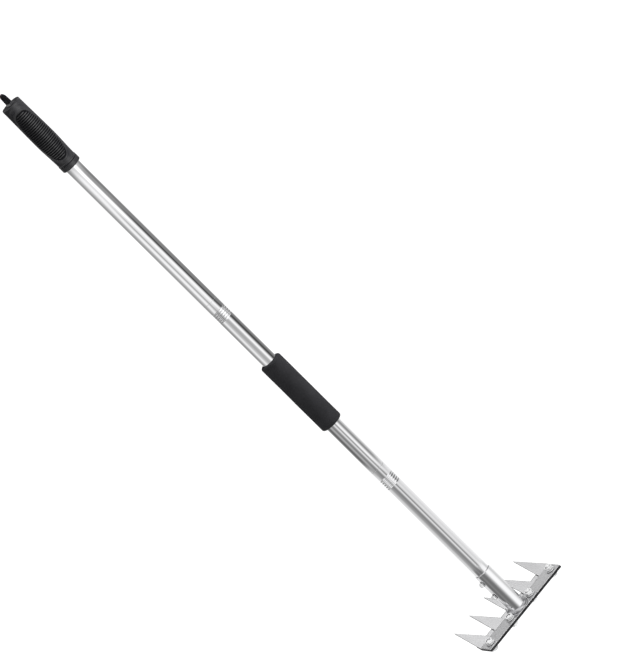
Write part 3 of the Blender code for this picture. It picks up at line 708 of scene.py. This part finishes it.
def tooth_plate_outline(inset):
    """x runs between the edges of the teeth, which close in downwards, and eases to even lines."""
    y = row_heights(tooth_rows, [NOTCH_ROW, -1], inset)
    half = TOOTH_ROOT / 2 - taper(y) - inset
    pieces = []
    for tooth, cells in enumerate(TOOTH_CELLS):
        middle = (tooth - 2) * TOOTH_PITCH
        pieces.append(middle + half * np.linspace(-1, 1, cells + 1))
        if tooth < len(TOOTH_CELLS) - 1:
            share = np.linspace(0, 1, GAP_CELLS + 1)[1:-1]
            pieces.append(middle + half + (TOOTH_PITCH - 2 * half) * share)
    ease = smooth(0.0008, 0.0062, y[:, :1])
    x = np.concatenate(pieces, axis=1) * (1 - ease) + bar_lines * (1 - inset / BAR_HALF) * ease
    return bolt_holes(x, y, inset)


# %% Toothed sheet
keep = np.ones((len(tooth_rows) - 1, len(bar_lines) - 1), bool)
for start in np.cumsum(np.array(TOOTH_CELLS) + GAP_CELLS)[:-1] - GAP_CELLS:
    keep[NOTCH_ROW:, start:start + GAP_CELLS] = False
points, faces, edge_marks = layered(sheet_layers(tooth_plate_outline, 0.0), drill(keep), rim=2)
row_of = np.repeat(np.arange(keep.shape[0]), keep.sum(axis=1))
flat_marks = np.where(row_of >= NOTCH_ROW - 2, 2, 0)
marks = np.concatenate([flat_marks, flat_marks, edge_marks[2 * len(row_of):]])
make_piece(
    "toothed_sheet", points, faces, [bar_metal, painted_shade_cut_edge, tooth_metal, painted_highlight_rim], "lower_section",
    "tooth_plate", "brushed_steel", marks=marks)

# %% The backing plate
backing_rows = np.concatenate([bar_rows, fold_rows, np.linspace(-FOLD_HALF, -BACKING_DEPTH, 7)[1:]])


def backing_outline(inset):
    """The same even lines; below the bend its ends close in like the outer teeth."""
    y = row_heights(backing_rows, -1, inset)
    return bolt_holes(bar_lines * (1 - (taper(y) + inset) / BAR_HALF), y, inset)


keep = drill(np.ones((len(backing_rows) - 1, len(bar_lines) - 1), bool))
points, faces, marks = layered(sheet_layers(backing_outline, -(SHEET + SEAT_GAP)), keep)
make_piece(
    "backing_sheet", points, faces, [tooth_metal, painted_shade_cut_edge], "lower_section",
    "backing_plate", "brushed_steel", marks=marks)

# %% [markdown]
# ## The socket
#
# A short piece of wider tube stands on the head's front and is welded to it. Its lower end follows
# the folded sheet, and two screws pass through it, so it has four holes. It is the layered builder
# again, with a grid wrapped round the tube. The height of the sheet below a point of the tube is
# the higher of two planes, because the fold bends the teeth up towards the handle.
# %% Height of the folded sheet under the tube
def sheet_height(x, y):
    """The higher of the bar's plane and the teeth's plane, both through the bend line."""
    away = y - HEAD_ORIGIN[1]
    return HEAD_ORIGIN[2] + np.maximum(-away * math.tan(LEAN), -away * math.tan(LEAN + BEND))


# %% Socket tube
SOCKET_COLUMNS, SCREW_DROP, EVEN_UNTIL, SPREAD_ROWS = 96, (0.0145, 0.044), 0.056, 12
SOCKET_HOLE, SOCKET_RING, SOCKET_EASE, SOCKET_EDGE = 0.004, 4, 7, 0.0003
drops = np.concatenate([
    np.linspace(0, SCREW_DROP[0], 15), np.linspace(SCREW_DROP[0], SCREW_DROP[1], 29)[1:],
    np.linspace(SCREW_DROP[1], EVEN_UNTIL, 12)[1:],
])
screw_holes = [
    (row, drop, column)
    for row, drop in zip((14, 42), SCREW_DROP) for column in (0, SOCKET_COLUMNS // 2)]


def socket_layer(radius, inset):
    """Rows run down from the mouth and the last twelve spread out to the sheet, round the holes."""
    turn = np.repeat(angles_round(SOCKET_COLUMNS)[None, :], len(drops) + SPREAD_ROWS, axis=0)
    base = sheet_height(0, radius * np.sin(turn[0])) + SEAT_GAP
    even = (MOUTH - drops)[:, None] + 0 * turn[:1]
    even[0] -= inset
    share = np.linspace(0, 1, SPREAD_ROWS + 1)[1:, None]
    z = np.concatenate([even, even[-1:] + share * (base[None, :] - even[-1:])])
    step_z, step_a = np.mgrid[-SOCKET_EASE:SOCKET_EASE + 1, -SOCKET_EASE:SOCKET_EASE + 1]
    ring = np.maximum(np.abs(step_z), np.abs(step_a))
    away_s = step_a * SOCKET_RADIUS * 2.0 * math.pi / SOCKET_COLUMNS
    for row, drop, column in screw_holes:
        block = (row + step_z, (column + step_a) % SOCKET_COLUMNS)
        away_z = z[block] - (MOUTH - drop)
        length = np.hypot(away_z, away_s)
        scale = ring_scale(ring, length, SOCKET_HOLE + inset, SOCKET_RING, SOCKET_EASE, 0.2)
        z[block] = MOUTH - drop + away_z * scale
        turn[block] = column * 2 * math.pi / SOCKET_COLUMNS + away_s * scale / SOCKET_RADIUS
    return np.stack([radius * np.cos(turn), radius * np.sin(turn), z], axis=-1)


insets, softened = rounding(SOCKET_EDGE, 4)
radii = [*(SOCKET_RADIUS - softened), *(SOCKET_BORE_RADIUS + softened[::-1])]
layers = [socket_layer(radius, inset) for radius, inset in zip(radii, [*insets, *insets[::-1]])]
keep = np.ones((len(drops) + SPREAD_ROWS - 1, SOCKET_COLUMNS), bool)
inside = np.arange(-SOCKET_RING, SOCKET_RING)
for row, _, column in screw_holes:
    keep[np.ix_(row + inside, (column + inside) % SOCKET_COLUMNS)] = False
points, faces, _ = layered(layers, keep, around=True)
make_piece(
    "socket", points, faces, [polished], "lower_section", "socket_tube", "polished_steel",
    sharp=40.0)

# %% [markdown]
# ### The weld bead
#
# A ring of melted steel fills the corner between tube and sheet. Its section is a quarter of a
# rounded bulge, carried round the tube while it stays on the sheet below it. Small even ripples,
# one for each dip of the welding rod, make the radius and the height swell and sink.
# %% Weld bead
BEAD_WIDTH, BEAD_HEIGHT, RIPPLES = 0.0043, 0.0045, 46
columns = 276
turn = angles_round(columns)
arch = np.linspace(0.0, math.pi / 2, 12)[:, None]
dips = 0.5 + 0.5 * np.cos(RIPPLES * turn + 2.2 * np.sin(arch) ** 2)
swell = 0.5 + 0.5 * np.sin(5 * turn)
ripple = 1.0 - 0.010 * dips - 0.03 * swell
inside = SOCKET_RADIUS + SEAT_GAP / 3
radius = inside + BEAD_WIDTH * np.sin(arch) ** 0.9 * ripple
lift = BEAD_HEIGHT * np.cos(arch) ** 0.8 * ripple
lift[-1] = 0.0
radius = np.concatenate([radius, np.full((3, columns), inside)])
back_up = np.array([[0.0], [0.4], [0.8]]) * BEAD_HEIGHT
lift = np.concatenate([lift, np.repeat(back_up, columns, axis=1)])
x, y = radius * np.cos(turn), radius * np.sin(turn)
points, faces = turned(np.stack([x, y, sheet_height(x, y) + SEAT_GAP + lift], axis=-1))
make_piece(
    "weld_bead", points, faces, [weld_metal], "lower_section", "socket_weld", "weld_steel",
    sharp=75.0)

# %% [markdown]
# ## Bolts, nuts and screws
#
# A hex head is nearly a turned part. Its radius at an angle is the distance to a flat side, which
# is half the width across flats divided by a cosine that repeats every sixty degrees, and the
# chamfer is a cone that cuts the six corners. So one grid gives flange, hexagon, chamfer and a
# recess or a bore, and the shank gets its thread from the same kind of helix as the pole.
# %% One fastener as a turned grid
FACETS, CHAMFER_ANGLE, CHAMFER_SHARE = 72, math.radians(30.0), 0.96
facet_turn = angles_round(FACETS)


def hexagon(across_flats, height, top):
    """Distance to the nearest flat at each angle, inside a cone of 30 degrees under the top."""
    nearest = (facet_turn + math.pi / 6) % (math.pi / 3) - math.pi / 6
    flats = across_flats / 2 / np.cos(nearest)
    cone = across_flats / 2 * CHAMFER_SHARE + (top - height) / math.tan(CHAMFER_ANGLE)
    return np.minimum(flats[None, :], cone[:, None])


def around_all(radius):
    """The same radius at every facet."""
    return np.repeat(np.asarray(radius)[:, None], FACETS, axis=1)


def head_rows(flange, thick, across_flats, height):
    """Radius, height and rows of painted shade, from the hexagon's top edge down to the bearing
    face.

    flange and thick are the flange's width and thickness.
    """
    side = [height - 0.0018, (height + thick) / 2, thick + 0.0007, thick + 0.0002]
    hex_z = np.concatenate([[height], height - np.linspace(0.0, 0.0011, 7)[1:], side])
    hex_r = hexagon(across_flats, hex_z, height)
    round_in, round_down = rounding(thick * 0.42, 5)
    ring_r = flange / 2 - np.concatenate([round_in, [0.0, 0.0, 0.0002]])
    ring_z = np.concatenate([thick - round_down, [0.0005, 0.0002, 0.0]])
    radius = np.concatenate([hex_r, hex_r[-1:] + 0.0002, around_all(ring_r)])
    painted_shade_rows = np.zeros(len(radius), bool)
    # Painted shade on the hexagon's lowest rows, in the corner at the flange, and on the flange's
    # lower rim.
    painted_shade_rows[[len(hex_z) - 2, len(hex_z) - 1, -3, -2]] = True
    return radius, np.concatenate([hex_z, [thick], ring_z]), painted_shade_rows


def shank_rows(radius, end, pitch, thread_from):
    """A plain shank from the bearing face that ends in a helical thread and a chamfer."""
    threaded = np.linspace(thread_from, end + 0.0006, int((thread_from - end) / pitch * 10))
    z = np.concatenate([[0.0], threaded, [end]])
    wave = np.abs(((z[:, None] / pitch - facet_turn[None, :] / (2 * math.pi)) % 1.0) * 2 - 1)
    r = radius - 0.11 * radius * wave * smooth(0, 0.001, thread_from - z)[:, None]
    r[-1] = radius - 0.0007
    return r, z


# %% Bolt, nut and screw shapes
FLANGE, FLANGE_HEIGHT, ACROSS_FLATS = 0.0155, 0.0016, 0.0127
BOLT_HEAD, NUT_HEIGHT, STICK_OUT = 0.0068, 0.0080, 0.002
STACK_BACK = -(2 * SHEET + SEAT_GAP)
BOLT_LENGTH = NUT_HEIGHT + STICK_OUT + 2 * SEAT_GAP - STACK_BACK
SCREW_LENGTH = 2 * SOCKET_RADIUS + SEAT_GAP - 0.0005
# Dish radii and depths, head (flange, its height, across flats, height), shank radius and length,
# thread pitch, and where the thread starts.
CLAMP_BOLT = (
    [0.0, 0.0033, 0.0037, 0.0042], [0.0010, 0.0010, 0.0008, 0.0],
    (FLANGE, FLANGE_HEIGHT, ACROSS_FLATS, BOLT_HEAD), 0.004, BOLT_LENGTH, 0.00125, -0.004)
SOCKET_SCREW = ([0.0], [0.0], (0.0108, 0.0010, 0.0088, 0.0045), 0.003, SCREW_LENGTH, 0.001, -0.016)


def bolt_grid(dish, dish_low, sizes, radius, length, pitch, thread_from):
    """Dish, hex head on a flange and threaded shank; height 0 is the bearing face."""
    head_r, head_z, painted_shade_rows = head_rows(*sizes)
    shank_r, shank_z = shank_rows(radius, -length, pitch, thread_from)
    rings = np.concatenate([around_all(dish), head_r, shank_r, around_all([0.0])])
    heights = np.concatenate([sizes[-1] - np.array(dish_low), head_z, shank_z, [-length]])
    # dark marks the rows that get the painted shade: the dish and the head's corners.
    dark = np.zeros(len(rings), bool)
    dark[1:len(dish) - 1] = True
    dark[len(dish):len(dish) + len(painted_shade_rows)] = painted_shade_rows
    return spin(rings, heights, FACETS), dark


def nut_grid():
    """Hex on a flange with a bore; the profile runs down outside and back up the bore."""
    head_r, head_z, painted_shade_rows = head_rows(FLANGE, FLANGE_HEIGHT, ACROSS_FLATS, NUT_HEIGHT)
    bore_r = [0.0046, 0.0042, 0.0042, 0.0048]
    bore_z = [0.0, 0.0005, NUT_HEIGHT - 0.0006, NUT_HEIGHT]
    rings = np.concatenate([head_r, around_all(bore_r)])
    # The nut's bore gets the painted shade too.
    dark = np.concatenate([painted_shade_rows, [True, True, True, False]])
    return spin(rings, np.concatenate([head_z, bore_z]), FACETS), dark


# %% Clamp bolts and nuts in place
def turned_about_z(grid, angle):
    """Turns a grid about its own axis: x and y become their mix by cosine and sine."""
    c, s = math.cos(angle), math.sin(angle)
    return grid @ np.array([[c, s, 0.0], [-s, c, 0.0], [0.0, 0.0, 1.0]])


def capped_marks(dark):
    """Finish numbers in the order in which capped() makes its cells: bands, then both end fans."""
    return np.repeat(np.concatenate([dark[1:-2], dark[:1], dark[-2:-1]]), FACETS)


def on_head(grid, x, from_front, angle):
    """Turns a fastener on its axis, flips it if it comes from behind, and sets it on the head."""
    grid = turned_about_z(grid, angle)
    if not from_front:
        grid = grid * [1.0, -1.0, -1.0]
    return head_place(grid + [x, BOLT_Y, SEAT_GAP if from_front else STACK_BACK - SEAT_GAP])


def fastener(name, node, skin, marks):
    """A zinc-plated piece on the head, with painted shade in its corners, dish and bore."""
    make_piece(name, *skin, [zinc, zinc_painted_shade], "lower_section", node, "zinc", marks=marks)


# In each fastener, dark marks the faces that get the zinc's painted shade.
for number, x in enumerate(BOLT_X, start=1):
    nut_in_front = x < 0
    grid, dark = bolt_grid(*CLAMP_BOLT)
    skin = capped(on_head(grid, x, not nut_in_front, 0.35 * number))
    fastener(f"bolt_{number}", f"clamp_bolt_{number}", skin, capped_marks(dark))
    grid, dark = nut_grid()
    skin = turned(on_head(grid, x, nut_in_front, 0.2 + 0.5 * number))
    fastener(f"nut_{number}", f"clamp_nut_{number}", skin, np.repeat(dark, FACETS))

# %% Socket screws in place
for name, drop, angle in zip(("upper", "lower"), SCREW_DROP, (0.1, 0.45)):
    grid, dark = bolt_grid(*SOCKET_SCREW)
    grid = turned_about_z(grid, angle)
    along_x, down_z = grid[..., 2] + SOCKET_RADIUS + SEAT_GAP, MOUTH - drop - grid[..., 0]
    skin = capped(np.stack([along_x, grid[..., 1], down_z], axis=-1))
    fastener(f"screw_{name}", f"socket_screw_{name}", skin, capped_marks(dark))

# %% [markdown]
# ## The studio
#
# A bright tube shows its surroundings, so most of its looks come from what stands round it. In a
# studio that is a light tent: white and grey cloth in strips. Here it is one cylinder, closed by a
# disc just above the floor, that only mirror rays see. Its brightness is a ramp over the angle
# round the pole. Each stretch of the tool has a ramp of its own, and they are blended by height.
# It could be a sphere with a picture on it, but strips can be set one by one, by looking at which
# stripe of the tube each of them makes. The floor is plain and pale and can't be seen from below.
# The world is white where it is looked at, and gives even light of a plain level otherwise.
# %% Strips of the light tent, from the floor up
TENT_RADIUS, TENT_TOP, TENT_LOW, TENT_STRENGTH = 1.2, 1.60, -1.59, 3.0
# For each ramp: the heights between which it takes over, then percent by degrees from the camera.
# The stop at 180 degrees is the one at -180 again.
TENT_RAMPS = (
    (TENT_LOW, TENT_LOW, {  # bottom disc
        -180: 55, -160: 95, -140: 110, -118: 45, -95: 35, -78: 100, -50: 115, -32: 60, -15: 45,
        0: 100, 30: 120, 60: 115, 76: 40, 98: 35, 112: 90, 135: 110, 155: 90,
    }),
    (-1.588, -1.584, {  # socket
        -180: 90, -143: 85, -116: 88, -100: 80, -88: 28, -78: 16, -60: 17, -47: 25, -35: 20,
        -20: 17, -6: 22, 6: 38, 17: 68, 29: 105, 41: 115, 67: 110, 81: 90, 97: 68, 110: 72,
        143: 100,
    }),
    (-1.41, -1.398, {  # lower tube
        -180: 110, -143: 95, -116: 76, -97: 72, -81: 54, -67: 36, -53: 34, -41: 28, -29: 26,
        -17: 40, -7: 78, 4: 86, 13: 36, 22: 30, 34: 72, 50: 90, 67: 78, 81: 82, 116: 95,
    }),
    (-1.17, -1.12, {  # just below the foam
        -180: 110, -150: 60, -130: 28, -114: 16, -97: 13, -82: 22, -67: 46, -55: 46, -41: 24,
        -29: 27, -17: 45, -7: 90, 2: 78, 10: 40, 18: 34, 29: 92, 41: 115, 54: 85, 67: 40, 81: 28,
        97: 42, 116: 70, 143: 90,
    }),
    (-1.0, -0.92, {  # middle tube
        -180: 110, -150: 80, -128: 38, -114: 27, -98: 42, -82: 66, -67: 105, -53: 88, -41: 62,
        -29: 55, -17: 44, 0: 50, 10: 60, 19: 95, 30: 115, 42: 100, 54: 45, 66: 9, 80: 7, 97: 20,
        116: 27, 143: 40, 160: 80,
    }),
    (-0.78, -0.72, {  # above the foam and upper joint
        -180: 110, -150: 75, -128: 40, -112: 33, -96: 46, -78: 62, -66: 95, -54: 108, -40: 95,
        -30: 58, -20: 42, -10: 82, 4: 98, 20: 110, 32: 110, 44: 58, 55: 11, 65: 5, 78: 22, 96: 26,
        116: 24, 134: 36, 150: 75,
    }),
    (-0.55, -0.46, {  # upper tube
        -180: 110, -150: 70, -128: 36, -112: 33, -96: 46, -78: 60, -66: 80, -54: 100, -40: 105,
        -30: 102, -20: 86, -10: 86, 4: 110, 14: 160, 28: 160, 34: 110, 44: 52, 55: 33, 65: 34,
        78: 36, 96: 24, 116: 22, 134: 36, 150: 75,
    }),
    (-0.42, -0.34, {  # grip
        -180: 70, -174: 70, -166: 12, -120: 9, -60: 9, -30: 20, -10: 60, 12: 140, 30: 190, 44: 190,
        58: 120, 90: 80, 130: 38, 158: 15, 166: 70,
    }),
    (-0.07, 0.02, {  # the grip's end face
        -180: 5, -160: 5, -148: 70, -110: 80, -70: 95, -45: 60, -20: 90, 20: 100, 48: 95, 60: 35,
        80: 35, 100: 80, 148: 70, 160: 5,
    }),
    (0.34, 0.42, {  # roof
        -180: 100, -140: 100, -120: 60, -90: 60, -70: 95, -45: 55, -20: 90, 20: 100, 48: 95,
        60: 35, 80: 35, 100: 80, 130: 100,
    }),
)


# %% Light tent's cloth
def calculate(tree, operation, first, second=0.0):
    """One Math node; each input is a socket or a plain number."""
    return add_node(tree, "Math", {0: first, 1: second}, operation=operation)["Value"]


cloth = bpy.data.materials.new("tent_cloth")
cloth.use_nodes = True
tree = cloth.node_tree
tree.nodes.clear()
place = add_node(tree, "TexCoord", {})["Object"]
split = add_node(tree, "SeparateXYZ", {"Vector": place})
angle = calculate(tree, "ARCTAN2", split["Y"], split["X"])
share = calculate(tree, "DIVIDE", calculate(tree, "SUBTRACT", angle, CAMERA_AZIMUTH), 2 * math.pi)
share = calculate(tree, "FRACT", calculate(tree, "ADD", share, 1.5))
strips = None
for low, high, stops in TENT_RAMPS:
    ramp = colour_ramp(tree, share, [
        ((degrees + 180) / 360, (percent / 100 / TENT_STRENGTH,) * 3)
        for degrees, percent in (*stops.items(), (180, stops[-180]))])
    if strips is not None:
        above = spread(tree, split["Z"], 0.0, 1.0, low, high, interpolation_type="SMOOTHSTEP")
        ramp = add_node(tree, "Mix", {"Factor": above, 6: strips, 7: ramp}, data_type="RGBA")[2]
    strips = ramp
glow = add_node(tree, "Emission", {"Color": strips, "Strength": TENT_STRENGTH})["Emission"]
add_node(tree, "OutputMaterial", {"Surface": glow})


# %% Light tent's shape
SIDES, BANDS = 96, 8
heights = np.append(np.linspace(TENT_TOP, TENT_LOW, BANDS + 1), TENT_LOW)
reach = np.append(np.full(BANDS + 1, TENT_RADIUS), 0.01)
cells = ring_faces(BANDS + 2, SIDES, closed=False).tolist()
tent = add_mesh("light_tent", spin(reach, heights, SIDES).reshape(-1, 3), cells, [cloth])
tent.visible_camera = tent.visible_diffuse = tent.visible_shadow = tent.visible_transmission = False
tent.visible_volume_scatter = False
print("light tent:", len(TENT_RAMPS), "ramps on", len(cells), "faces")

# %% Floor
WHITE, FLOOR_HALF, FLOOR_Z = (1.0, 1.0, 1.0, 1.0), 25, -1.6
floor_material = bpy.data.materials.new("pale_floor")
floor_material.use_nodes = True
tree = floor_material.node_tree
paint = tree.nodes["Principled BSDF"]
matt = {"Base Color": (0.9, 0.9, 0.9, 1.0), "Roughness": 0.9, "Specular IOR Level": 0.0}
for label, value in matt.items():
    paint.inputs[label].default_value = value
place = add_node(tree, "TexCoord", {})["Object"]
away = add_node(tree, "VectorMath", {0: place}, operation="LENGTH")["Value"]
seen = add_node(tree, "LightPath", {})["Is Camera Ray"]
lift_by = calculate(tree, "MULTIPLY", seen, spread(tree, away, 0.5, 0.8, 1.5, 6.0))
lift = add_node(tree, "Emission", {"Color": WHITE, "Strength": lift_by})["Emission"]
total = add_node(tree, "AddShader", {0: paint.outputs["BSDF"], 1: lift})["Shader"]
under = add_node(tree, "NewGeometry", {})["Backfacing"]
clear = add_node(tree, "BsdfTransparent", {})["BSDF"]
either = add_node(tree, "MixShader", {"Fac": under, 1: total, 2: clear})["Shader"]
tree.links.new(either, tree.nodes["Material Output"].inputs["Surface"])
square = np.array([(-1, -1, 0), (1, -1, 0), (1, 1, 0), (-1, 1, 0)])
corners = square * FLOOR_HALF + [0.0, 0.0, FLOOR_Z]
floor = add_mesh("floor", corners, [(0, 1, 2, 3)], [floor_material])

# %% World and lamps
PLAIN_LIGHT, LAMP_AIM, LAMP_DISTANCE = 0.35, Vector((0.0, 0.0, -0.65)), 3.2
world = bpy.data.worlds.new("studio")
bpy.context.scene.world = world
world.use_nodes = True
tree = world.node_tree
paths = add_node(tree, "LightPath", {})
looked_at = calculate(tree, "MAXIMUM", paths["Is Glossy Ray"], paths["Is Transmission Ray"])
looked_at = calculate(tree, "MAXIMUM", paths["Is Camera Ray"], looked_at)
sky = tree.nodes["Background"].inputs
sky["Color"].default_value = WHITE
tree.links.new(spread(tree, looked_at, PLAIN_LIGHT, 1.0, 0.0, 1.0), sky["Strength"])

LAMPS = (("key", 75.0, 35.0, 2.2, 120.0), ("fill", -60.0, 50.0, 2.6, 12.0))
for name, azimuth_off, lift_angle, size, watts in LAMPS:
    lamp = bpy.data.objects.new(name, bpy.data.lights.new(name, "AREA"))
    lamp.data.size, lamp.data.energy = size, watts
    lamp.visible_glossy = False
    turn_to, rise = CAMERA_AZIMUTH + math.radians(azimuth_off), math.radians(lift_angle)
    level = math.cos(rise)
    toward = Vector((math.cos(turn_to) * level, math.sin(turn_to) * level, math.sin(rise)))
    lamp.location = LAMP_AIM + LAMP_DISTANCE * toward
    lamp.rotation_euler = toward.to_track_quat("Z", "Y").to_euler()
    bpy.context.scene.collection.objects.link(lamp)
    print(name, "lamp:", watts, "W")
bpy.context.scene.view_settings.view_transform = "Standard"
